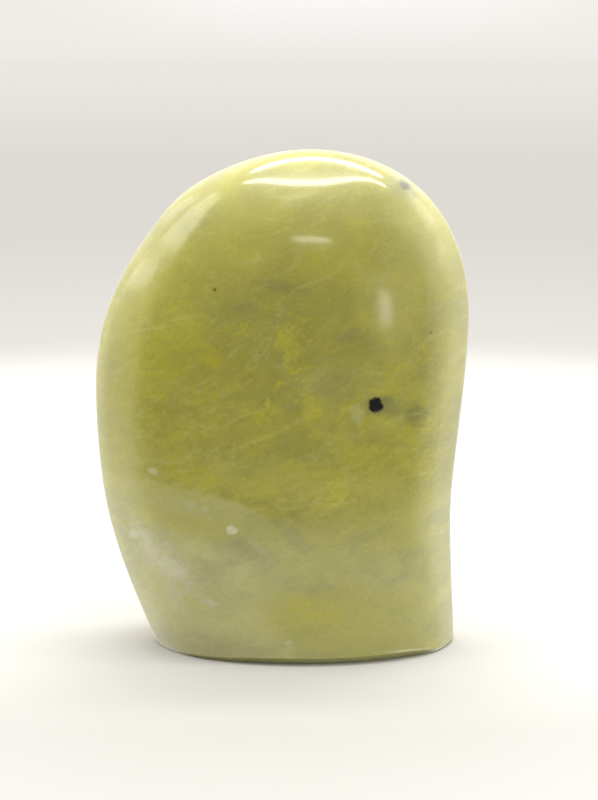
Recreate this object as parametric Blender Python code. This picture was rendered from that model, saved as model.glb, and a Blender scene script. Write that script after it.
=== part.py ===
# Polished serpentine freeform: one rounded slab of stone, standing on a sawn flat base.
# Metres, +Z up. X runs across the broad face, and -Y is the front.
# The origin is the middle of the bounding box, on the plane that the stone stands on.

import math

import bmesh
import bpy
import numpy as np
from mathutils import Vector, noise

MM = 0.001

# Heights where the stone is measured: height, left, right, front and back, from the middle line.
STATIONS_MM = (
    (0.0, -39.2, 53.4, -22.0, 24.5),
    (22.0, -47.3, 52.6, -22.3, 24.4),
    (45.0, -53.4, 51.8, -22.7, 24.0),
    (70.0, -55.6, 53.9, -23.0, 23.5),
    (95.0, -53.8, 55.8, -23.0, 23.2),
    (115.0, -46.5, 54.6, -22.2, 22.5),
    (130.0, -36.2, 48.6, -20.0, 20.5),
    (140.0, -25.8, 40.0, -16.4, 17.0),
)

HEIGHT = 150.6 * MM             # sawn base to crest
CREST_X = 9.4 * MM              # the crest stands right of the middle,
CREST_Y = 0.0                   # halfway through the thickness
CREST_RADIUS_X = 57.0 * MM      # rounding of the crest along the broad face
CREST_RADIUS_Y = 24.0 * MM      # and across the thickness
CLOSING_POWER = 3.0             # how late the level sections start closing up towards the crest

LEFT_FULLNESS = 2.3             # how square the ends of a level section are: 2 is an ellipse
RIGHT_FULLNESS = 2.4
CROWN_FULLNESS = 2.0
CROWN_START = 95.0 * MM         # from here up the sections turn to plain ellipses
FOOT_FULLNESS = 2.0             # the base is a plain ellipse as well
FOOT_TOP = 40.0 * MM

# Ground corners of the level sections, in shares of their half width and half depth:
# which way each corner looks, how far out it lies, and how softly it begins.
CORNERS = (
    (Vector((0.960, -0.280)), 0.990, 0.02),
    (Vector((-0.903, -0.430)), 1.000, 0.03),
    (Vector((0.880, 0.475)), 1.010, 0.03),
)

# The soft facet ground along the front of the crown.
CROWN_FACET_LOOK = Vector((0.0, -0.69, 0.724)).normalized()
CROWN_FACET_DISTANCE = 112.3 * MM
CROWN_FACET_SOFTNESS = 1.0 * MM

SWELL = 0.5 * MM                # hand-ground unevenness of the polished skin
SWELL_LENGTH = 38.0 * MM
SWELL_FADE = 25.0 * MM          # the skin runs true close to the sawn base

CHAMFER = 0.8 * MM              # ground edge round the sawn base
FRONT_CHAMFER = 2.6 * MM        # and along the middle of its front, where more was taken off
FRONT_CHAMFER_LEFT = (-34.0 * MM, 2.0 * MM)     # where the wide part begins and is full
FRONT_CHAMFER_RIGHT = (51.0 * MM, 38.0 * MM)
FRONT_CHAMFER_DEPTH = 10.0 * MM
ARRIS = 0.3 * MM                # worn upper edge of the chamfer
ARRIS_STEPS = 2

CELLS = 24                      # mesh cells along each side of the starting cube
CAP_SPREAD = 0.72               # how much of the full section the cube's lid covers
CUT_REACH = 12.0                # how many softnesses inside a plane it still rounds the skin
SHARP_ANGLE = math.radians(35.0)        # edges bent more than this are shaded sharp
TINY = 1e-6

STONE_COLOUR = (0.30, 0.27, 0.055, 1.0)
STONE_ROUGHNESS = 0.16


def clear_scene():
    for old in list(bpy.data.objects):
        bpy.data.objects.remove(old, do_unlink=True)


def smooth_curve(heights, values):
    """Natural cubic spline through the given values, as a function of height."""
    x = np.array(heights)
    y = np.array(values)
    gap = np.diff(x)
    slope = np.diff(y) / gap
    matrix = np.eye(len(x))
    right_side = np.zeros(len(x))
    for i in range(1, len(x) - 1):
        matrix[i, i - 1:i + 2] = (gap[i - 1], 2.0 * (gap[i - 1] + gap[i]), gap[i])
        right_side[i] = 6.0 * (slope[i] - slope[i - 1])
    bend = np.linalg.solve(matrix, right_side)

    def value_at(height):
        i = int(np.clip(np.searchsorted(x, height) - 1, 0, len(gap) - 1))
        low = x[i + 1] - height
        high = height - x[i]
        curve = (bend[i] * low ** 3 + bend[i + 1] * high ** 3) / (6.0 * gap[i])
        low_part = (y[i] / gap[i] - bend[i] * gap[i] / 6.0) * low
        high_part = (y[i + 1] / gap[i] - bend[i + 1] * gap[i] / 6.0) * high
        return float(curve + low_part + high_part)

    return value_at


def closing(z):
    """1 at the base, 0 at the crest: how the level sections close up over the crown."""
    return math.sqrt(max(0.0, 1.0 - (z / HEIGHT) ** CLOSING_POWER))


def height_where(closed):
    """The height where the level sections have closed up to the given share."""
    return HEIGHT * (1.0 - closed * closed) ** (1.0 / CLOSING_POWER)


def ease(share):
    """Smooth step from 0 to 1."""
    share = min(max(share, 0.0), 1.0)
    return share * share * (3.0 - 2.0 * share)


class StoneForm:
    """The stone's level sections, from the sawn base up to the crest."""

    def __init__(self):
        heights, left, right, front, back = np.array(STATIONS_MM).T * MM
        closed = np.array([closing(z) for z in heights])
        levels = np.append(heights, HEIGHT)
        crest_x = math.sqrt(2.0 * CREST_RADIUS_X * HEIGHT / CLOSING_POWER)
        crest_y = math.sqrt(2.0 * CREST_RADIUS_Y * HEIGHT / CLOSING_POWER)
        self.middle_x = smooth_curve(levels, np.append((left + right) / 2.0, CREST_X))
        self.middle_y = smooth_curve(levels, np.append((front + back) / 2.0, CREST_Y))
        self.width = smooth_curve(levels, np.append((right - left) / 2.0 / closed, crest_x))
        self.depth = smooth_curve(levels, np.append((back - front) / 2.0 / closed, crest_y))

    def skin_point(self, way, z):
        """Point on the skin at a height, in the direction of a level unit vector."""
        fullness = LEFT_FULLNESS + (RIGHT_FULLNESS - LEFT_FULLNESS) * ease((1.0 + way.x) / 2.0)
        fullness += (FOOT_FULLNESS - fullness) * ease(1.0 - z / FOOT_TOP)
        crown = ease((z - CROWN_START) / (HEIGHT - CROWN_START))
        fullness += (CROWN_FULLNESS - fullness) * crown
        share = way * (abs(way.x) ** fullness + abs(way.y) ** fullness) ** (-1.0 / fullness)
        for look, distance, softness in CORNERS:
            share = soft_cut(share, look, distance, softness)
        x = self.middle_x(z) + self.width(z) * closing(z) * share.x
        y = self.middle_y(z) + self.depth(z) * closing(z) * share.y
        point = Vector((x, y, z))
        return soft_cut(point, CROWN_FACET_LOOK, CROWN_FACET_DISTANCE, CROWN_FACET_SOFTNESS)


def soft_cut(point, look, distance, softness):
    """Grind a point back to a plane, with a softly rounded edge where the plane begins."""
    over = (point.dot(look) - distance) / softness
    if over < -CUT_REACH:
        return point
    return point - look * (softness * math.log1p(math.exp(over)))


def chamfer_at(foot):
    """How much is ground off the base's edge at a point of it."""
    full = ease(-foot.y / FRONT_CHAMFER_DEPTH)
    for start, end in (FRONT_CHAMFER_LEFT, FRONT_CHAMFER_RIGHT):
        full *= ease((foot.x - start) / (end - start))
    return CHAMFER + (FRONT_CHAMFER - CHAMFER) * full


def shape_skin(bm, form):
    """Move the vertices of a gridded cube, 2 across, onto the stone's skin."""
    cap_height = height_where(CAP_SPREAD)
    for vert in bm.verts:
        u, v, w = vert.co
        disc = Vector((u * math.sqrt(1.0 - v * v / 2.0), v * math.sqrt(1.0 - u * u / 2.0)))
        spread = disc.length
        way = disc.normalized() if spread > TINY else Vector((1.0, 0.0))
        if w > 1.0 - TINY:
            vert.co = form.skin_point(way, height_where(CAP_SPREAD * spread))
        else:
            chamfer = chamfer_at(form.skin_point(way, 0.0))
            vert.co = form.skin_point(way, chamfer + (cap_height - chamfer) * (1.0 + w) / 2.0)


def swell_skin(bm):
    """Leave the slight unevenness of a hand-ground surface, fading out towards the base."""
    bm.normal_update()
    moves = []
    for vert in bm.verts:
        fade = ease(vert.co.z / SWELL_FADE)
        moves.append(vert.normal * (SWELL * fade * noise.noise(vert.co / SWELL_LENGTH)))
    for vert, move in zip(bm.verts, moves):
        vert.co += move


def finish_base(bm, base, form):
    """Grind a chamfer from the skin's lower rim in to the flat sawn base, and wear its arris."""
    arris = list(base.edges)
    sawn = bmesh.ops.extrude_face_region(bm, geom=[base, *arris])["geom"]
    for vert in (item for item in sawn if isinstance(item, bmesh.types.BMVert)):
        chamfer = vert.co.z
        vert.co.x -= chamfer * (vert.co.x - form.middle_x(0.0)) / form.width(0.0)
        vert.co.y -= chamfer * (vert.co.y - form.middle_y(0.0)) / form.depth(0.0)
        vert.co.z = 0.0
    bmesh.ops.bevel(
        bm, geom=arris, offset=ARRIS, offset_type="OFFSET", affect="EDGES",
        segments=ARRIS_STEPS, profile=0.5, material=-1, clamp_overlap=True,
    )


def centre_on_origin(bm):
    xs = [vert.co.x for vert in bm.verts]
    ys = [vert.co.y for vert in bm.verts]
    shift = Vector((-(min(xs) + max(xs)) / 2.0, -(min(ys) + max(ys)) / 2.0, 0.0))
    bmesh.ops.translate(bm, verts=bm.verts, vec=shift)


def stone_material():
    material = bpy.data.materials.new("polished_serpentine")
    material.use_nodes = True
    shader = material.node_tree.nodes["Principled BSDF"]
    shader.inputs["Base Color"].default_value = STONE_COLOUR
    shader.inputs["Roughness"].default_value = STONE_ROUGHNESS
    shader.inputs["Metallic"].default_value = 0.0
    return material


def make_stone():
    bm = bmesh.new()
    bmesh.ops.create_cube(bm, size=2.0)
    bmesh.ops.subdivide_edges(bm, edges=bm.edges, cuts=CELLS - 1, use_grid_fill=True)
    floor_faces = [face for face in bm.faces if face.calc_center_median().z < -1.0 + TINY]
    base = bmesh.ops.dissolve_faces(bm, faces=floor_faces, use_verts=True)["region"][0]
    form = StoneForm()
    shape_skin(bm, form)
    swell_skin(bm)
    finish_base(bm, base, form)
    centre_on_origin(bm)
    bmesh.ops.recalc_face_normals(bm, faces=bm.faces)
    mesh = bpy.data.meshes.new("stone")
    bm.to_mesh(mesh)
    bm.free()
    mesh.shade_smooth()
    mesh.set_sharp_from_angle(angle=SHARP_ANGLE)
    stone = bpy.data.objects.new("stone", mesh)
    stone.data.materials.append(stone_material())
    bpy.context.scene.collection.objects.link(stone)
    return stone


clear_scene()
make_stone()
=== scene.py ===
# Polished serpentine freeform: the finished stone on a plain pale floor, in soft light.
# The stone keeps the frame's size and place. X is to the right, -Y is the front, +Z is up.

import bisect
import math

import bmesh
import bpy
from mathutils import Matrix, Vector, noise


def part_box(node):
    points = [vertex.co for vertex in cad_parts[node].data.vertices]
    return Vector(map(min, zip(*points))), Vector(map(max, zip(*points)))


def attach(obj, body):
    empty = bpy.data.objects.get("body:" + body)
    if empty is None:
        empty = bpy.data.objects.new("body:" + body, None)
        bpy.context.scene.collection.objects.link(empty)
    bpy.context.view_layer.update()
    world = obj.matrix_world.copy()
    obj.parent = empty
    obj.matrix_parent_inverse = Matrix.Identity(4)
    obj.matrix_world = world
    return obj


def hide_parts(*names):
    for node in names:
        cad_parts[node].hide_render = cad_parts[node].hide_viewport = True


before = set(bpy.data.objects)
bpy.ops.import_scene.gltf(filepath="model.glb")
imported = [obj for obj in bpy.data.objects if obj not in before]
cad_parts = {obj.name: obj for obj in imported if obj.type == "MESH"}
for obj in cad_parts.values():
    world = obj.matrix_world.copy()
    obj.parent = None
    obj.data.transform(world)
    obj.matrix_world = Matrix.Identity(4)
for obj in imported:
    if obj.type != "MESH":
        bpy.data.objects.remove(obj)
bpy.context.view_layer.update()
mm = 0.001
tiny = 1e-6
midNoise = 0.5                                 # what a noise pattern swings about


# Shader maths. A Wire is one output of a node, and plain sums on it add Math nodes.

class Wire:
    def __init__(self, sheet, socket):
        self.sheet = sheet
        self.socket = socket

    def __add__(self, other):
        return self.sheet.sum("ADD", self, other)

    def __sub__(self, other):
        return self.sheet.sum("SUBTRACT", self, other)

    def __rsub__(self, other):
        return self.sheet.sum("SUBTRACT", other, self)

    def __mul__(self, other):
        return self.sheet.sum("MULTIPLY", self, other)

    def __truediv__(self, other):
        return self.sheet.sum("DIVIDE", self, other)

    def __rtruediv__(self, other):
        return self.sheet.sum("DIVIDE", other, self)

    __radd__ = __add__
    __rmul__ = __mul__


class Sheet:                                   # the node tree of one material or of the world
    def __init__(self, owner):
        owner.use_nodes = True
        self.tree = owner.node_tree
        self.tree.nodes.clear()

    def node(self, kind, settings=None, values=None, output=0):
        made = self.tree.nodes.new(kind)
        for name, value in (settings or {}).items():
            setattr(made, name, value)
        for name, value in (values or {}).items():
            socket = made.inputs[name]
            if isinstance(value, Wire):
                self.tree.links.new(value.socket, socket)
            else:
                socket.default_value = value
        return Wire(self, made.outputs[output]) if made.outputs else made

    def sum(self, operation, *values):
        return self.node("ShaderNodeMath", {"operation": operation}, dict(enumerate(values)))

    def vector(self, operation, *values, output="Vector"):
        settings = {"operation": operation}
        return self.node("ShaderNodeVectorMath", settings, dict(enumerate(values)), output)

    def parts(self, vector):                   # x, y and z
        first = self.node("ShaderNodeSeparateXYZ", None, {0: vector})
        return [Wire(self, output) for output in first.socket.node.outputs]

    def rise(self, value, low, high, start=0.0, end=1.0):      # smooth step from low to high
        return self.node("ShaderNodeMapRange", {"interpolation_type": "SMOOTHSTEP"}, {
            "Value": value, "From Min": low, "From Max": high, "To Min": start, "To Max": end})

    def fall(self, value, low, high):          # the same, from 1 down to 0
        return self.rise(value, low, high, 1.0, 0.0)

    def blend(self, share, low, high):         # 6, 7 and 2 are the node's colour sockets
        colours = {0: share, 6: colour(low), 7: colour(high)}
        return self.node("ShaderNodeMix", {"data_type": "RGBA"}, colours, 2)

    def shaded(self, paint, share):            # a colour made lighter or darker
        shares = self.node("ShaderNodeCombineXYZ", None, {0: share, 1: share, 2: share})
        return self.vector("MULTIPLY", paint, shares)

    def clouds(self, place, size, detail, rough=0.55, twist=0.0):
        return self.node("ShaderNodeTexNoise", None, {
            "Vector": place, "Scale": 1.0 / size, "Detail": detail,
            "Roughness": rough, "Distortion": twist})


def colour(value):
    return (*value, 1.0) if isinstance(value, tuple) and len(value) == 3 else value


def dimmed(value, share, least):               # down to the least part of it where share is 1
    return value * (1.0 - share * (1.0 - least))


# The stone's form: level sections at measured heights, closing up over a rounded crown.

stone = {
    "stations": (              # height, left, right, front, back, in mm from the middle line
        (0.0, -39.2, 53.4, -22.0, 24.5),
        (22.0, -47.3, 52.6, -22.3, 24.4),
        (45.0, -53.4, 51.8, -22.7, 24.0),
        (70.0, -55.6, 53.9, -23.0, 23.5),
        (95.0, -53.8, 55.8, -23.0, 23.2),
        (115.0, -46.5, 54.6, -22.2, 22.5),
        (130.0, -36.2, 48.6, -20.0, 20.5),
        (140.0, -25.8, 40.0, -16.4, 17.0),
    ),
    "height": 150.6,
    "crestX": 9.4,
    "crestRadius": (57.0, 24.0),               # along the broad face, and across the thickness
    "closingPower": 3.0,
    "leftFullness": 2.3,                       # 2 is an ellipse, more is squarer
    "rightFullness": 2.4,
    "crownFullness": 2.0,
    "footFullness": 2.0,
    "crownStart": 95.0,                        # plain ellipses from here up to the crest,
    "footTop": 40.0,                           # and from here down to the base
    "corners": (                               # look, distance, softness, in shares of a section
        (Vector((0.960, -0.280)), 0.990, 0.02),
        (Vector((-0.903, -0.430)), 1.000, 0.03),
        (Vector((0.880, 0.475)), 1.010, 0.03),
    ),
    "crownFacet": (Vector((0.0, -0.69, 0.724)).normalized(), 112.3, 1.0),
    "swell": 0.5,                              # unevenness of the hand-ground skin
    "swellLength": 38.0,
    "swellFade": 25.0,
    "chamfer": 0.8,                            # ground edge round the sawn base,
    "frontChamfer": 2.6,                       # wider along the middle of its front
    "frontChamferEnds": ((-34.0, 2.0), (51.0, 38.0)),      # where the wide part begins and is full
    "frontChamferDepth": 10.0,
    "arris": 0.3,                              # worn upper edge of the chamfer
    "arrisSteps": 2,
    "cutReach": 12.0,                          # softnesses inside a plane where rounding starts
    "cells": 92,                               # mesh cells along each side of the starting cube
    "capSpread": 0.72,                         # how much of the full section the cube's lid covers
    "sharpAngle": 35.0,                        # edges bent more than this are shaded sharp
}


def smoothCurve(heights, values):              # natural cubic spline
    count = len(heights)
    gap = [heights[i + 1] - heights[i] for i in range(count - 1)]
    slope = [(values[i + 1] - values[i]) / gap[i] for i in range(count - 1)]
    ratio = [0.0] * count
    load = [0.0] * count
    for i in range(1, count - 1):
        pivot = 2.0 * (gap[i - 1] + gap[i]) - gap[i - 1] * ratio[i - 1]
        ratio[i] = gap[i] / pivot
        load[i] = (6.0 * (slope[i] - slope[i - 1]) - gap[i - 1] * load[i - 1]) / pivot
    bend = [0.0] * count
    for i in range(count - 2, 0, -1):
        bend[i] = load[i] - ratio[i] * bend[i + 1]

    def valueAt(height):
        i = min(max(bisect.bisect_right(heights, height) - 1, 0), count - 2)
        low = heights[i + 1] - height
        high = height - heights[i]
        curve = (bend[i] * low ** 3 + bend[i + 1] * high ** 3) / (6.0 * gap[i])
        lowPart = (values[i] / gap[i] - bend[i] * gap[i] / 6.0) * low
        highPart = (values[i + 1] / gap[i] - bend[i + 1] * gap[i] / 6.0) * high
        return curve + lowPart + highPart

    return valueAt


def ease(share):
    share = min(max(share, 0.0), 1.0)
    return share * share * (3.0 - 2.0 * share)


def softCut(point, look, distance, softness):  # grinds a point back to a softly starting plane
    over = (point.dot(look) - distance) / softness
    if over < -stone["cutReach"]:
        return point
    return point - look * (softness * math.log1p(math.exp(over)))


def closing(z):
    return math.sqrt(max(0.0, 1.0 - (z / stone["height"]) ** stone["closingPower"]))


def heightWhere(closed):
    return stone["height"] * (1.0 - closed * closed) ** (1.0 / stone["closingPower"])


def crestReach(radius):
    return math.sqrt(2.0 * radius * stone["height"] / stone["closingPower"])


def makeForm():
    heights, left, right, front, back = zip(*stone["stations"])
    closed = [closing(z) for z in heights]
    levels = (*heights, stone["height"])

    def through(values, crest):
        return smoothCurve(levels, (*values, crest))

    return {
        "middleX": through([(a + b) / 2.0 for a, b in zip(left, right)], stone["crestX"]),
        "middleY": through([(a + b) / 2.0 for a, b in zip(front, back)], 0.0),
        "width": through([(b - a) / 2.0 / c for a, b, c in zip(left, right, closed)],
                         crestReach(stone["crestRadius"][0])),
        "depth": through([(b - a) / 2.0 / c for a, b, c in zip(front, back, closed)],
                         crestReach(stone["crestRadius"][1])),
    }


def skinPoint(form, way, z):                   # way is a level unit vector, z a height in mm
    fullness = stone["leftFullness"]
    fullness += (stone["rightFullness"] - fullness) * ease((1.0 + way.x) / 2.0)
    crown = ease((z - stone["crownStart"]) / (stone["height"] - stone["crownStart"]))
    fullness += (stone["crownFullness"] - fullness) * crown
    fullness += (stone["footFullness"] - fullness) * ease(1.0 - z / stone["footTop"])
    share = way * (abs(way.x) ** fullness + abs(way.y) ** fullness) ** (-1.0 / fullness)
    for look, distance, softness in stone["corners"]:
        share = softCut(share, look, distance, softness)
    x = form["middleX"](z) + form["width"](z) * closing(z) * share.x
    y = form["middleY"](z) + form["depth"](z) * closing(z) * share.y
    return softCut(Vector((x, y, z)), *stone["crownFacet"])


def chamferAt(foot):                           # how much is ground off the base's edge here
    full = ease(-foot.y / stone["frontChamferDepth"])
    for start, end in stone["frontChamferEnds"]:
        full *= ease((foot.x - start) / (end - start))
    return stone["chamfer"] + (stone["frontChamfer"] - stone["chamfer"]) * full


def shapeSkin(bm, form):                       # takes a gridded cube, 2 across, to the stone's skin
    capHeight = heightWhere(stone["capSpread"])
    for vert in bm.verts:
        u, v, w = vert.co
        disc = Vector((u * math.sqrt(1.0 - v * v / 2.0), v * math.sqrt(1.0 - u * u / 2.0)))
        spread = disc.length
        way = disc.normalized() if spread > tiny else Vector((1.0, 0.0))
        if w > 1.0 - tiny:
            vert.co = skinPoint(form, way, heightWhere(stone["capSpread"] * spread))
        else:
            chamfer = chamferAt(skinPoint(form, way, 0.0))
            vert.co = skinPoint(form, way, chamfer + (capHeight - chamfer) * (1.0 + w) / 2.0)


def swellSkin(bm):
    bm.normal_update()
    moves = []
    for vert in bm.verts:
        fade = ease(vert.co.z / stone["swellFade"])
        swell = stone["swell"] * fade * noise.noise(vert.co / stone["swellLength"])
        moves.append(vert.normal * swell)
    for vert, move in zip(bm.verts, moves):
        vert.co += move


def finishBase(bm, base, form):                # chamfer in to the flat sawn base, with a worn arris
    arris = list(base.edges)
    sawn = bmesh.ops.extrude_face_region(bm, geom=[base, *arris])["geom"]
    for vert in (item for item in sawn if isinstance(item, bmesh.types.BMVert)):
        chamfer = vert.co.z
        vert.co.x -= chamfer * (vert.co.x - form["middleX"](0.0)) / form["width"](0.0)
        vert.co.y -= chamfer * (vert.co.y - form["middleY"](0.0)) / form["depth"](0.0)
        vert.co.z = 0.0
    bmesh.ops.bevel(bm, geom=arris, offset=stone["arris"], offset_type="OFFSET", affect="EDGES",
                    segments=stone["arrisSteps"], profile=0.5, material=-1)


def fitToFrame(bm, node):                      # same middle, base and size as the frame's stone
    low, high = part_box(node)
    for i in range(3):
        places = [vert.co[i] for vert in bm.verts]
        start = min(places)
        scale = (high[i] - low[i]) / (max(places) - start)
        for vert in bm.verts:
            vert.co[i] = low[i] + (vert.co[i] - start) * scale


def makeStone():
    bm = bmesh.new()
    bmesh.ops.create_cube(bm, size=2.0)
    bmesh.ops.subdivide_edges(bm, edges=bm.edges, cuts=stone["cells"] - 1, use_grid_fill=True)
    floorFaces = [face for face in bm.faces if face.calc_center_median().z < -1.0 + tiny]
    base = bmesh.ops.dissolve_faces(bm, faces=floorFaces, use_verts=True)["region"][0]
    form = makeForm()
    shapeSkin(bm, form)
    swellSkin(bm)
    finishBase(bm, base, form)
    fitToFrame(bm, "stone")
    bmesh.ops.recalc_face_normals(bm, faces=bm.faces)
    mesh = bpy.data.meshes.new("serpentineStone")
    bm.to_mesh(mesh)
    bm.free()
    mesh.shade_smooth()
    mesh.set_sharp_from_angle(angle=math.radians(stone["sharpAngle"]))
    piece = bpy.data.objects.new("serpentineStone", mesh)
    bpy.context.scene.collection.objects.link(piece)
    print("stone:", len(mesh.vertices), "vertices,", len(mesh.polygons), "faces")
    return piece


# The polished serpentine. Places are in mm on the stone, colours are linear.

serpentine = {
    "deep": (0.354, 0.338, 0.071),
    "body": (0.440, 0.416, 0.078),
    "yellow": (0.486, 0.448, 0.046),
    "grey": (0.345, 0.335, 0.086),
    "vein": (0.640, 0.620, 0.260),
    "foot": (0.462, 0.450, 0.140),
    "footGrey": (0.405, 0.400, 0.142),
    "footYellow": (0.484, 0.462, 0.112),
    "layers": (-12.0, 1.6),                    # slant and stretch: a slant under 0 rises rightwards
    "wispLayers": (-22.0, 1.9),
    "aside": (130.0, 40.0, 70.0),              # where the grey is read, clear of the yellow
    "patterns": {                              # size, detail, roughness and distortion
        "grain": (1.1, 3.0, 0.7, 0.0),
        "wisps": (6.0, 7.0, 0.68, 0.6),
        "body": (34.0, 2.0, 0.55, 0.0),
        "yellow": (11.0, 8.0, 0.72, 1.0),
        "specks": (2.2, 4.0, 0.6, 0.0),
        "grey": (14.0, 8.0, 0.68, 1.0),
        "footGrey": (15.0, 3.0, 0.5, 0.8),
        "footLine": (11.0, 5.0, 0.55, 0.0),
        "patchEdge": (4.0, 5.0, 0.65, 0.0),
        "spotEdge": (1.3, 4.0, 0.6, 0.0),
    },
    "shows": {                                 # where a pattern starts to show and is full
        "body": (0.38, 0.60),
        "yellow": (0.47, 0.63),
        "specks": (0.40, 0.62),
        "grey": (0.49, 0.67),
        "footYellow": (0.50, 0.66),
        "footGrey": (0.46, 0.62),
        "veinGaps": (0.44, 0.64),
    },
    "greyShare": 0.65,
    "footYellowShare": 0.8,
    "leastSpecks": 0.4,                        # what is left of the yellow between its specks
    "crownCalm": (93.0, 126.0, 0.3),           # plainer from height to height, down to this share,
    "sideCalm": (36.0, 51.0, 0.45),            # from here to here away from the middle,
    "sideMiddle": 1.0,
    "footCalm": 0.45,                          # and in the foot
    "footHeight": 55.5,                        # upper edge of the paler foot, at the far left
    "footSteps": (                             # how much higher it gets from x to x
        (-40.0, -8.0, -5.0),
        (-14.0, 0.0, -6.0),
        (18.0, 48.0, 6.0),
    ),
    "footRagged": 3.4,
    "footSoft": 0.7,                           # half the width of that edge at the left,
    "footSofter": (-12.0, 22.0, 6.0),          # and how much softer it gets from x to x
    "rimWidth": 1.1,                           # yellow rim on that edge,
    "rimFade": (-14.0, 8.0),                   # fading out from x to x
    "rimShare": 0.35,
    "veins": (                                 # size, slant in degrees, stretch and strength
        (30.0, -14.0, 2.6, 0.17),
        (17.0, -24.0, 2.4, 0.15),
        (8.0, -34.0, 2.6, 0.14),
    ),
    "veinAside": (7.0, 3.0, 0.0),              # where each is read, in its own sizes
    "veinPattern": (5.0, 0.42, 0.7),           # detail, roughness and distortion
    "veinEdge": 0.005,                         # sharp on one side,
    "veinPlume": 0.060,                        # and fading out on the other
    "veinGaps": (0.6, 2.0),                    # size as a share of the vein's, and detail
    "patchSoft": 0.60,                         # soft edge as a share of the patch's reach,
    "spotSoft": 0.45,                          # and in mm on a spot
    "grainTone": 0.28,                         # how much the fine grain lightens and darkens,
    "wispTone": 0.44,                          # and the drawn-out wisps
    "footShade": (2.0, 17.0, 0.06),            # painted contact shade at the base, fading from z to z, by this
    "roughness": 0.21,
    "roughnessWander": 0.16,                   # duller and glossier from grain to grain
    "relief": 0.012,                           # what the polishing leaves of the grain, mm
    "ior": 1.56,
    "polish": 0.7,                             # waxed gloss over the stone
    "polishRoughness": 0.08,
    "depth": 6.0,                              # how far light wanders inside, mm
    "depthShares": (1.0, 0.85, 0.35),
    "translucency": 0.7,
}

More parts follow.
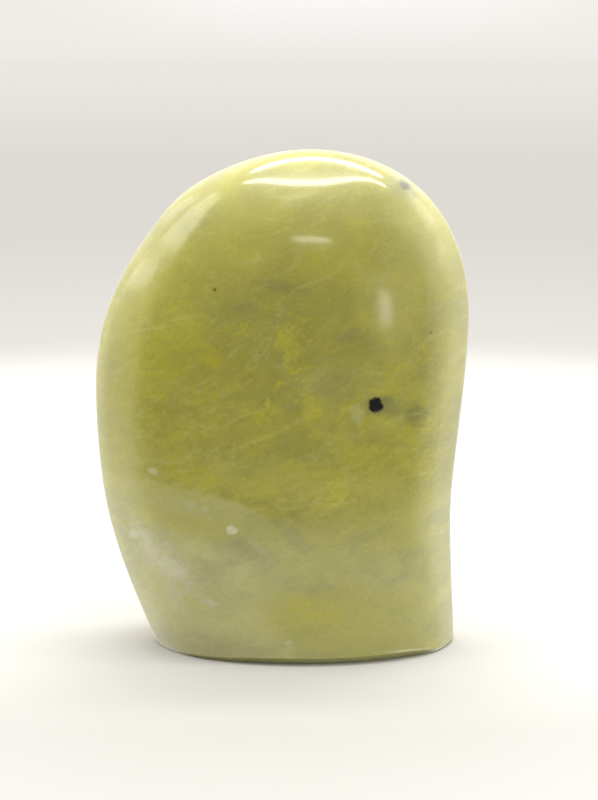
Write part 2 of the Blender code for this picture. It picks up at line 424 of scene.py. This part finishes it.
# Soft patches: centre, reach, turn in degrees, ragged edge, strength and colour.
patches = {
    "greyHeart": ((3.0, -21.0, 112.0), (24.0, 14.0, 6.0), 8.0, 0.9, 0.42, (0.300, 0.290, 0.074)),
    "greyLeft": ((-10.0, -21.0, 106.5), (10.0, 10.0, 3.6), 0.0, 1.0, 0.40, (0.310, 0.300, 0.078)),
    "oliveLeft": ((-25.0, -20.0, 69.0), (24.0, 14.0, 12.0), 4.0, 1.0, 0.42, (0.370, 0.345, 0.050)),
    "oliveUpper": ((-24.0, -20.0, 92.0), (18.0, 14.0, 6.0), 8.0, 1.1, 0.50, (0.390, 0.364, 0.044)),
    "oliveRight": ((30.0, -20.0, 61.0), (16.0, 14.0, 7.0), -4.0, 0.9, 0.45, (0.440, 0.415, 0.062)),
    "shadeRight": ((18.0, -21.0, 97.0), (14.0, 12.0, 6.0), 6.0, 1.0, 0.45, (0.320, 0.304, 0.070)),
    "greyRound": ((16.0, -21.0, 85.0), (12.0, 12.0, 5.0), -6.0, 0.9, 0.50, (0.350, 0.346, 0.108)),
    "greyStep": ((6.0, -21.0, 44.5), (16.0, 12.0, 3.0), 0.0, 0.8, 0.12, (0.300, 0.290, 0.092)),
    "darkPool": ((-10.5, -21.0, 35.0), (10.0, 12.0, 4.2), 20.0, 0.9, 0.60, (0.320, 0.322, 0.108)),
    "darkPoolLow": ((-24.0, -20.0, 28.0), (8.5, 12.0, 5.4), 15.0, 0.9, 0.74, (0.320, 0.317, 0.104)),
    "oliveFoot": ((-25.0, -19.0, 14.0), (21.0, 14.0, 18.0), 0.0, 0.8, 0.60, (0.405, 0.388, 0.080)),
    "yellowStep": ((-3.0, -21.0, 57.0), (23.0, 12.0, 6.2), 6.0, 1.2, 0.48, (0.520, 0.490, 0.090)),
    "paleStep": ((29.0, -20.5, 50.5), (24.0, 12.0, 7.5), -4.0, 1.2, 0.50, (0.500, 0.475, 0.110)),
    # painted reflection: a whiter pale patch on the upper right of the face stands in for mirrored
    # light
    "paintedReflectionRight": ((36.0, -18.0, 114.0), (11.0, 14.0, 20.0), 8.0, 0.7, 0.42, (0.495, 0.480, 0.180)),
    "paleUpper": ((-15.0, -21.0, 121.0), (15.0, 12.0, 7.0), 6.0, 1.2, 0.35, (0.500, 0.475, 0.105)),
    "yellowLeft": ((-42.0, -16.0, 82.0), (9.0, 16.0, 28.0), 6.0, 0.9, 0.42, (0.450, 0.420, 0.050)),
    "yellowSpot": ((16.2, -21.7, 52.6), (2.6, 4.0, 3.2), 0.0, 1.6, 0.45, (0.560, 0.515, 0.055)),
    "yellowStar": ((7.4, -21.8, 80.4), (4.0, 4.0, 3.0), 30.0, 1.8, 0.50, (0.560, 0.515, 0.055)),
    "yellowFleck": ((-19.4, -21.0, 92.3), (2.8, 4.0, 1.5), 20.0, 1.4, 0.55, (0.500, 0.440, 0.022)),
    "yellowHigh": ((-27.2, -20.0, 96.2), (3.2, 4.0, 1.9), -6.0, 1.6, 0.45, (0.480, 0.446, 0.024)),
    "yellowSmall": ((1.0, -21.8, 97.6), (2.4, 4.0, 2.0), 0.0, 1.8, 0.50, (0.550, 0.505, 0.050)),
    "greyPool": ((-8.6, -21.0, 61.5), (7.0, 10.0, 3.6), -6.0, 0.8, 0.45, (0.330, 0.325, 0.092)),
    "greyWisp": ((0.7, -21.0, 113.3), (7.0, 10.0, 1.5), 12.0, 1.0, 0.48, (0.262, 0.262, 0.084)),
    "wispLeft": ((-10.0, -21.0, 107.4), (6.0, 10.0, 1.2), -4.0, 1.0, 0.44, (0.272, 0.272, 0.086)),
    "wispRight": ((20.5, -21.0, 99.6), (6.0, 10.0, 1.8), -10.0, 1.0, 0.46, (0.300, 0.298, 0.098)),
    "paleCurl": ((-6.6, -21.0, 122.6), (2.6, 8.0, 0.7), 52.0, 0.9, 0.28, (0.560, 0.540, 0.190)),
    "paleCurlLow": ((-9.6, -21.0, 120.4), (3.8, 8.0, 0.8), -16.0, 1.0, 0.26, (0.560, 0.540, 0.190)),
    "paleStroke": ((-5.2, -21.0, 70.0), (9.0, 8.0, 0.8), -22.0, 1.3, 0.35, (0.560, 0.530, 0.120)),
    "paleLine": ((-37.0, -17.0, 100.8), (9.0, 10.0, 0.5), -12.0, 1.0, 0.28, (0.560, 0.540, 0.160)),
    "paleStreak": ((5.0, -17.5, 138.8), (4.6, 6.0, 0.8), -8.0, 1.0, 0.22, (0.620, 0.600, 0.300)),
    "whiteCloud": ((-34.2, -18.0, 31.4), (11.5, 12.0, 4.8), 38.0, 1.4, 0.46, (0.560, 0.545, 0.350)),
    "whiteHeart": ((-32.4, -18.0, 29.4), (5.6, 10.0, 2.6), 30.0, 1.4, 0.50, (0.600, 0.590, 0.400)),
    "whiteUpper": ((-40.0, -16.0, 37.0), (5.0, 10.0, 2.6), 50.0, 1.3, 0.46, (0.580, 0.570, 0.370)),
    "whiteTail": ((-32.5, -18.0, 21.0), (3.0, 10.0, 6.0), -16.0, 1.3, 0.38, (0.540, 0.535, 0.330)),
    "greyStreak": ((-6.8, -21.5, 36.9), (4.0, 8.0, 1.0), 46.0, 1.2, 0.48, (0.460, 0.475, 0.290)),
    "paleBase": ((11.0, -21.5, 12.5), (25.0, 14.0, 8.0), 0.0, 0.8, 0.50, (0.540, 0.520, 0.145)),
    "yellowFoot": ((4.6, -21.5, 19.9), (3.8, 12.0, 2.6), 20.0, 1.8, 0.42, (0.555, 0.515, 0.075)),
    "yellowFootLow": ((12.7, -21.5, 15.8), (4.8, 12.0, 1.9), 4.0, 1.8, 0.48, (0.555, 0.515, 0.075)),
    # painted shade: darker colour low at the left of the base, where the stone's contact shadow
    # falls
    "paintedShadeBase": ((-28.0, -15.0, 1.5), (25.0, 16.0, 7.0), 0.0, 0.6, 0.80, (0.300, 0.286, 0.050)),
    "paleLow": ((-46.0, -14.0, 58.0), (10.0, 16.0, 15.0), 0.0, 0.8, 0.40, (0.500, 0.485, 0.150)),
    "paleEdge": ((-27.0, -18.0, 48.8), (17.0, 12.0, 4.8), 10.0, 0.9, 0.60, (0.495, 0.480, 0.200)),
    "paleFoot": ((-26.0, -19.0, 43.0), (14.0, 12.0, 3.0), 6.0, 0.9, 0.45, (0.480, 0.460, 0.115)),
    "blueSmudge": ((34.6, -6.6, 140.2), (4.8, 6.0, 2.6), 20.0, 0.8, 0.65, (0.250, 0.275, 0.150)),
    "blueHeart": ((35.8, -6.6, 140.8), (2.0, 5.0, 1.1), 14.0, 0.8, 0.90, (0.080, 0.088, 0.055)),
    "haze": ((34.0, -19.0, 77.5), (8.0, 8.0, 3.0), 10.0, 0.8, 0.45, (0.290, 0.298, 0.105)),
    "darkSpot": ((39.3, -17.2, 74.8), (3.0, 6.0, 3.1), 4.0, 0.9, 0.60, (0.205, 0.210, 0.058)),
    "whitish": ((21.9, -21.5, 76.6), (1.7, 4.0, 2.4), 0.0, 1.0, 0.40, (0.480, 0.485, 0.270)),
    "halo": ((28.2, -20.6, 79.2), (4.6, 6.0, 2.8), 8.0, 0.7, 0.55, (0.215, 0.220, 0.075)),
}

# Small marks: centre, reach, turn, ragged edge, strength and colour.
spots = {
    "inclusion": ((27.1, -20.8, 79.2), (2.25, 4.0, 2.0), 20.0, 0.7, 1.0, (0.004, 0.004, 0.004)),
    "whiteSpot": ((-14.2, -21.7, 42.2), (1.7, 4.0, 1.4), 0.0, 0.7, 0.62, (0.760, 0.750, 0.560)),
    "whiteFleck": ((-37.4, -17.3, 58.8), (1.4, 5.0, 0.9), 10.0, 0.8, 0.42, (0.700, 0.690, 0.480)),
    "whiteGrain": ((-39.3, -16.8, 56.2), (0.7, 5.0, 1.3), 0.0, 0.7, 0.20, (0.600, 0.600, 0.420)),
    "whiteEdge": ((-44.2, -14.0, 38.0), (1.3, 6.0, 1.5), 30.0, 1.0, 0.38, (0.660, 0.660, 0.500)),
    "whitePair": ((-26.4, -20.2, 49.4), (2.0, 4.0, 1.2), 10.0, 1.2, 0.24, (0.600, 0.600, 0.430)),
    "whiteTwin": ((-22.0, -20.8, 48.2), (1.5, 4.0, 1.0), 10.0, 1.2, 0.22, (0.600, 0.600, 0.430)),
    "whiteFoot": ((-21.4, -20.2, 19.2), (2.6, 5.0, 1.2), 6.0, 1.2, 0.32, (0.580, 0.580, 0.420)),
    "whiteBase": ((2.0, -22.0, 7.6), (1.1, 4.0, 0.8), 0.0, 1.2, 0.5, (0.640, 0.630, 0.460)),
    # painted highlight: a pale line along the right end of the base's arris stands in for a glint
    "paintedGlintArris": ((38.5, -17.0, 2.7), (4.6, 8.0, 0.3), 5.0, 1.0, 0.62, (0.860, 0.840, 0.640)),
    "dot": ((-18.7, -20.6, 112.5), (0.38, 2.0, 0.34), 0.0, 0.2, 0.95, (0.050, 0.045, 0.010)),
    "dotRight": ((43.0, -16.4, 99.6), (0.34, 2.0, 0.32), 0.0, 0.2, 0.85, (0.090, 0.085, 0.020)),
}


# Where a place lies in a pattern or mark that is turned, stretched and moved.
def laid(sheet, place, turn, reach, centre=(0.0, 0.0, 0.0)):
    return sheet.node("ShaderNodeMapping", {"vector_type": "TEXTURE"}, {
        "Vector": place, "Location": centre, "Scale": reach,
        "Rotation": (0.0, math.radians(turn), 0.0)})


def slanted(sheet, place, slant, stretch):     # draws a pattern out along a slanting line
    return laid(sheet, place, slant, (1.0, 1.0, 1.0 / stretch))


def marked(sheet, place, edge, skin, marks):   # lays each mark over the skin's colour
    for centre, reach, turn, ragged, strength, paint in marks.values():
        inside = laid(sheet, place, turn, reach, centre)
        away = sheet.vector("LENGTH", inside, output="Value") + (edge - midNoise) * (ragged * 2.0)
        soft = serpentine["patchSoft"] if marks is patches else serpentine["spotSoft"] / min(reach)
        skin = sheet.blend(sheet.fall(away, 1.0 - soft, 1.0 + soft) * strength, skin, paint)
    return skin


def veined(sheet, place, skin):                # pale feathery lines
    for size, slant, stretch, share in serpentine["veins"]:
        aside = tuple(size * step for step in serpentine["veinAside"])
        bed = slanted(sheet, sheet.vector("ADD", place, aside), slant, stretch)
        feather = sheet.clouds(bed, size, *serpentine["veinPattern"]) - midNoise
        plume = sheet.rise(feather, -serpentine["veinEdge"], serpentine["veinEdge"])
        plume = plume * sheet.fall(feather, 0.0, serpentine["veinPlume"])
        gapSize, gapDetail = serpentine["veinGaps"]
        gaps = sheet.clouds(bed, size * gapSize, gapDetail)
        whole = sheet.rise(gaps, *serpentine["shows"]["veinGaps"])
        skin = sheet.blend(plume * whole * share, skin, serpentine["vein"])
    return skin


def serpentineFinish():
    material = bpy.data.materials.new("polishedSerpentine")
    sheet = Sheet(material)
    spot = sheet.node("ShaderNodeTexCoord", output="Object")
    place = sheet.vector("MULTIPLY", spot, (1.0 / mm, 1.0 / mm, 1.0 / mm))
    x, _, z = sheet.parts(place)

    def pattern(name, where):
        return sheet.clouds(where, *serpentine["patterns"][name])

    def shows(name, value):
        return sheet.rise(value, *serpentine["shows"][name])

    layered = slanted(sheet, place, *serpentine["layers"])
    aside = sheet.vector("ADD", layered, serpentine["aside"])
    grain = pattern("grain", place)
    wisps = pattern("wisps", slanted(sheet, place, *serpentine["wispLayers"]))

    footTop = serpentine["footHeight"]         # height of the foot's ragged upper edge
    for start, end, climb in serpentine["footSteps"]:
        footTop = footTop + sheet.rise(x, start, end) * climb
    footTop = footTop + (pattern("footLine", place) - midNoise) * serpentine["footRagged"]
    start, end, softer = serpentine["footSofter"]
    footSoft = serpentine["footSoft"] + sheet.rise(x, start, end) * softer
    inFoot = sheet.rise((footTop - z) / footSoft, -1.0, 1.0)

    low, high, least = serpentine["crownCalm"]
    busy = least + sheet.fall(z, low, high) * (1.0 - least)
    busy = dimmed(busy, inFoot, serpentine["footCalm"])
    near, far, least = serpentine["sideCalm"]
    fromMiddle = sheet.sum("ABSOLUTE", x - serpentine["sideMiddle"])
    busy = dimmed(busy, sheet.rise(fromMiddle, near, far), least)

    body = shows("body", pattern("body", place))
    skin = sheet.blend(body, serpentine["deep"], serpentine["body"])
    least = serpentine["leastSpecks"]
    specks = least + shows("specks", pattern("specks", place)) * (1.0 - least)
    yellow = pattern("yellow", layered)
    skin = sheet.blend(shows("yellow", yellow) * specks * busy, skin, serpentine["yellow"])
    grey = shows("grey", pattern("grey", aside)) * busy * serpentine["greyShare"]
    skin = sheet.blend(grey, skin, serpentine["grey"])

    footYellow = shows("footYellow", yellow) * specks * serpentine["footYellowShare"]
    foot = sheet.blend(footYellow, serpentine["foot"], serpentine["footYellow"])
    footGrey = shows("footGrey", pattern("footGrey", aside))
    skin = sheet.blend(inFoot, skin, sheet.blend(footGrey, foot, serpentine["footGrey"]))

    skin = marked(sheet, place, pattern("patchEdge", layered), skin, patches)
    skin = veined(sheet, place, skin)
    rim = sheet.fall(sheet.sum("ABSOLUTE", footTop - z), 0.0, serpentine["rimWidth"])
    rim = rim * sheet.fall(x, *serpentine["rimFade"]) * serpentine["rimShare"]
    skin = sheet.blend(rim, skin, serpentine["footYellow"])
    skin = marked(sheet, place, pattern("spotEdge", place), skin, spots)

    tone = 1.0 + (grain - midNoise) * serpentine["grainTone"]
    tone = tone + (wisps - midNoise) * busy * serpentine["wispTone"]
    # painted contact shade: the colour darkens towards the base
    low, high, darker = serpentine["footShade"]
    tone = tone - sheet.fall(z, low, high) * darker
    relief = sheet.node("ShaderNodeBump", None, {
        "Distance": serpentine["relief"] * mm, "Height": grain + wisps})
    shader = sheet.node("ShaderNodeBsdfPrincipled", None, {
        "Base Color": sheet.shaded(skin, tone),
        "Roughness": serpentine["roughness"] + (grain - midNoise) * serpentine["roughnessWander"],
        "Normal": relief,
        "IOR": serpentine["ior"],
        "Coat Weight": serpentine["polish"],
        "Coat Roughness": serpentine["polishRoughness"],
        "Subsurface Weight": serpentine["translucency"],
        "Subsurface Radius": serpentine["depthShares"],
        "Subsurface Scale": serpentine["depth"] * mm,
    })
    sheet.node("ShaderNodeOutputMaterial", None, {"Surface": shader})
    return material


# The pale floor, with painted light and shade in its colour, and the soft white surroundings that
# light the stone.

studio = {
    "floorRadius": 60000.0,
    "floorSides": 96,
    "floorSink": 0.1,                          # below the stone's base
    "floorRoughness": 0.9,
    # Floor colours outwards from the stone carry painted light: darker near it, a painted pool of
    # light
    # behind it, painted fall-off beyond that, and lighter again towards the horizon.
    "floorNear": (0.590, 0.580, 0.560),
    "floorLightPool": (0.660, 0.650, 0.630),
    "floorBehind": (0.500, 0.491, 0.477),
    "floorFar": (0.460, 0.451, 0.437),
    "floorEdge": (0.530, 0.520, 0.503),
    "poolRise": (60.0, 200.0),                 # mm from the stone, where the painted pool of light comes in
    "poolFall": (400.0, 560.0),
    "farRise": (450.0, 1250.0),
    "edgeNear": 0.5,                           # by one over the distance plus this, in m,
    "edgeStart": 0.42,                         # the floor turns to floorEdge from here down to 0
    "frontShade": 0.82,                        # painted shade, a share of its colour in front of the stone,
    "frontRise": (15.0, 75.0),                 # coming in over this distance,
    "frontFade": (350.0, 900.0),               # and fading out over this one
    "backdrop": (0.848, 0.830, 0.792),         # at the horizon,
    "backdropTop": (0.870, 0.848, 0.800),      # at backdropRise, a sine of height, at the sides,
    "backdropMiddle": (0.970, 0.955, 0.920),   # and in the middle
    "backdropRise": 0.034,
    "middleAt": 0.03,
    "middleSpread": (0.04, 0.20),
    "whites": (1.0, 0.985, 0.955),
    "brightness": 1.70,
    "windows": (                               # side, run and rise over the distance, brightness
        ("ahead", (-0.05, 0.15), (0.286, 0.360), 5.8),
        ("ahead", (0.435, 0.545), (-0.14, 0.0), 3.9),
        ("left", (-0.40, 0.26), (0.535, 1.30), 2.1),
        ("left", (-0.06, 0.36), (0.31, 0.435), 1.9),
        ("left", (0.42, 0.86), (0.62, 0.98), 1.3),
        ("right", (0.0, 0.75), (0.46, 0.90), 1.15),
        ("right", (-0.05, 0.50), (0.19, 0.29), 1.1),
    ),
    "windowEdge": {"ahead": 0.025, "left": 0.035, "right": 0.06},
    "leastRun": 0.001,                         # keeps a rise over run within bounds
    "opening": 0.05,                           # what is left of the white inside the dark opening
    "openingTop": (0.10, 1.6),                 # rise over run, from dark to white
    "openingFoot": (-0.44, -0.36),
    "openingRight": (0.32, 0.74),              # cosine from straight ahead, at the right,
    "openingLeft": (-0.42, 0.70),              # and at the left
    "openingMiddle": (-0.1, 0.1),              # where the one turns into the other

    # Shares of the whites left on some sides, each fading over these parts of a unit vector.
    "belowFade": (-0.85, -0.65),               # straight down, by z
    "belowShade": 0.1,
    "lowFade": (-0.40, -0.05),                 # below the horizon, by z
    "lowShade": 0.85,
    "rightRise": (0.5, 0.9),                   # low at the right, by x,
    "rightBack": (0.25, 0.55),                 # y
    "rightTop": (0.0, 0.5),                    # and z
    "rightShade": 0.74,
    "behindRise": (0.30, 0.75),                # low behind the stone, by y
    "behindTop": (0.10, 0.42),                 # and z
    "behindShade": 0.62,
}


def makeFloor():
    bm = bmesh.new()
    radius = studio["floorRadius"] * mm
    bmesh.ops.create_circle(bm, cap_ends=True, segments=studio["floorSides"], radius=radius)
    bmesh.ops.translate(bm, verts=bm.verts, vec=(0.0, 0.0, -studio["floorSink"] * mm))
    mesh = bpy.data.meshes.new("paleFloor")
    bm.to_mesh(mesh)
    bm.free()
    floor = bpy.data.objects.new("paleFloor", mesh)
    bpy.context.scene.collection.objects.link(floor)
    mesh.materials.append(floorFinish())
    floor.visible_glossy = False               # the polish mirrors the whites instead


def floorFinish():
    material = bpy.data.materials.new("paleSheet")
    sheet = Sheet(material)
    spot = sheet.node("ShaderNodeTexCoord", output="Object")
    _, y, _ = sheet.parts(spot)
    away = sheet.vector("LENGTH", spot, output="Value")

    def over(name):                            # a range of distances, in m
        return [edge * mm for edge in studio[name]]

    # painted light in the floor's colour: a pool behind the stone, darker beyond, lighter far away
    skin = studio["floorNear"]
    rings = (("poolRise", "floorLightPool"), ("poolFall", "floorBehind"), ("farRise", "floorFar"))
    for spread, after in rings:
        skin = sheet.blend(sheet.rise(away, *over(spread)), skin, studio[after])
    outer = sheet.fall(1.0 / (away + studio["edgeNear"]), 0.0, studio["edgeStart"])
    skin = sheet.blend(outer, skin, studio["floorEdge"])
    # painted shade on the floor in front of the stone
    front = sheet.rise(y * -1.0, *over("frontRise")) * sheet.fall(away, *over("frontFade"))
    shader = sheet.node("ShaderNodeBsdfPrincipled", None, {
        "Base Color": sheet.shaded(skin, dimmed(1.0, front, studio["frontShade"])),
        "Roughness": studio["floorRoughness"],
        "Specular IOR Level": 0.0,
    })
    sheet.node("ShaderNodeOutputMaterial", None, {"Surface": shader})
    return material


def tentGlow(sheet, x, y, z):                  # strength of the whites that the polish mirrors
    level = sheet.sum("MAXIMUM", sheet.sum("SQRT", x * x + y * y), studio["leastRun"])
    facing = y * -1.0 / level
    tilt = z / level
    right = sheet.rise(facing, *studio["openingRight"])
    left = sheet.rise(facing, *studio["openingLeft"])
    opening = left + (right - left) * sheet.rise(x, *studio["openingMiddle"])
    opening = opening * sheet.fall(tilt, *studio["openingTop"])
    opening = opening * sheet.rise(tilt, *studio["openingFoot"])
    glow = dimmed(studio["brightness"], opening, studio["opening"])
    glow = dimmed(glow, sheet.fall(z, *studio["belowFade"]), studio["belowShade"])
    glow = dimmed(glow, sheet.fall(z, *studio["lowFade"]), studio["lowShade"])
    lower = sheet.rise(x, *studio["rightRise"]) * sheet.fall(y, *studio["rightBack"])
    lower = lower * sheet.fall(z, *studio["rightTop"])
    glow = dimmed(glow, lower, studio["rightShade"])
    behind = sheet.rise(y, *studio["behindRise"]) * sheet.fall(z, *studio["behindTop"])
    return dimmed(glow, behind, studio["behindShade"])


def band(sheet, value, low, high, blur):       # 1 between low and high, with blurred edges
    started = sheet.rise(value, low - blur, low + blur)
    return started * sheet.fall(value, high - blur, high + blur)


def windowGlow(sheet, x, y, z):
    glow = 0.0
    sides = {"ahead": (x, y * -1.0), "left": (y, x * -1.0), "right": (y, x)}
    for side, (start, end), (foot, top), light in studio["windows"]:
        blur = studio["windowEdge"][side]
        along, forward = sides[side]
        far = sheet.sum("MAXIMUM", forward, studio["leastRun"])
        across = band(sheet, along / far, start, end, blur)
        upright = band(sheet, z / far, foot, top, blur)
        glow = glow + across * upright * light
    return glow


def makeSurroundings():
    world = bpy.data.worlds.new("softTent")
    bpy.context.scene.world = world
    sheet = Sheet(world)
    way = sheet.node("ShaderNodeTexCoord")     # the direction a ray goes in
    x, y, z = sheet.parts(way)
    glow = tentGlow(sheet, x, y, z) + windowGlow(sheet, x, y, z)
    whites = sheet.node("ShaderNodeBackground", None, {
        "Color": colour(studio["whites"]), "Strength": glow})
    middle = sheet.sum("ABSOLUTE", x - studio["middleAt"])
    middle = sheet.fall(middle, *studio["middleSpread"])
    top = sheet.blend(middle, studio["backdropTop"], studio["backdropMiddle"])
    backdrop = sheet.blend(z / studio["backdropRise"], studio["backdrop"], top)
    plain = sheet.node("ShaderNodeBackground", None, {"Color": backdrop})
    seen = sheet.node("ShaderNodeLightPath", output="Is Camera Ray")
    both = sheet.node("ShaderNodeMixShader", None, {0: seen, 1: whites, 2: plain})
    sheet.node("ShaderNodeOutputWorld", None, {"Surface": both})


lamps = {                                      # place, aim, size in mm, power in W
    "frontStrip": ((62.0, -49.0, 430.0), (62.0, -49.0, 0.0), (368.0, 30.0), 0.39),
    "rearStrip": ((57.0, 60.0, 430.0), (57.0, 60.0, 0.0), (280.0, 34.0), 0.72),
}


def makeLamp(name, place, aim, size, power):
    light = bpy.data.lights.new(name, "AREA")
    light.shape = "RECTANGLE"
    light.size = size[0] * mm
    light.size_y = size[1] * mm
    light.energy = power
    lamp = bpy.data.objects.new(name, light)
    place = Vector(place) * mm
    turn = (Vector(aim) * mm - place).to_track_quat("-Z", "Y").to_matrix().to_4x4()
    lamp.matrix_world = Matrix.Translation(place) @ turn
    lamp.visible_camera = False
    bpy.context.scene.collection.objects.link(lamp)


# The camera stands a little above the stone and looks down on it.

view = {
    "place": (5.15, -473.6, 178.0),
    "tiltDown": 12.15,                         # degrees
    "lens": 72.6,
    "nearest": 10.0,                           # mm, what is nearer isn't drawn
}


def makeCamera():
    camera = bpy.data.objects.new("camera", bpy.data.cameras.new("camera"))
    camera.data.lens = view["lens"]
    camera.data.clip_start = view["nearest"] * mm
    camera.location = Vector(view["place"]) * mm
    camera.rotation_euler = (math.radians(90.0 - view["tiltDown"]), 0.0, 0.0)
    bpy.context.scene.collection.objects.link(camera)
    bpy.context.scene.camera = camera


bpy.context.scene.view_settings.view_transform = "Standard"
body = makeStone()
body.data.materials.append(serpentineFinish())
print("finish:", len(patches), "patches and", len(spots), "spots on the serpentine")
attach(body, "root")
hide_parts("stone")
makeFloor()
print("floor:", studio["floorRadius"] * mm, "m across its radius")
makeSurroundings()
for name, settings in lamps.items():
    makeLamp(name, *settings)
print("light:", len(studio["windows"]), "windows and", len(lamps), "lamps")
makeCamera()
print("camera:", view["lens"], "mm lens at", view["place"])
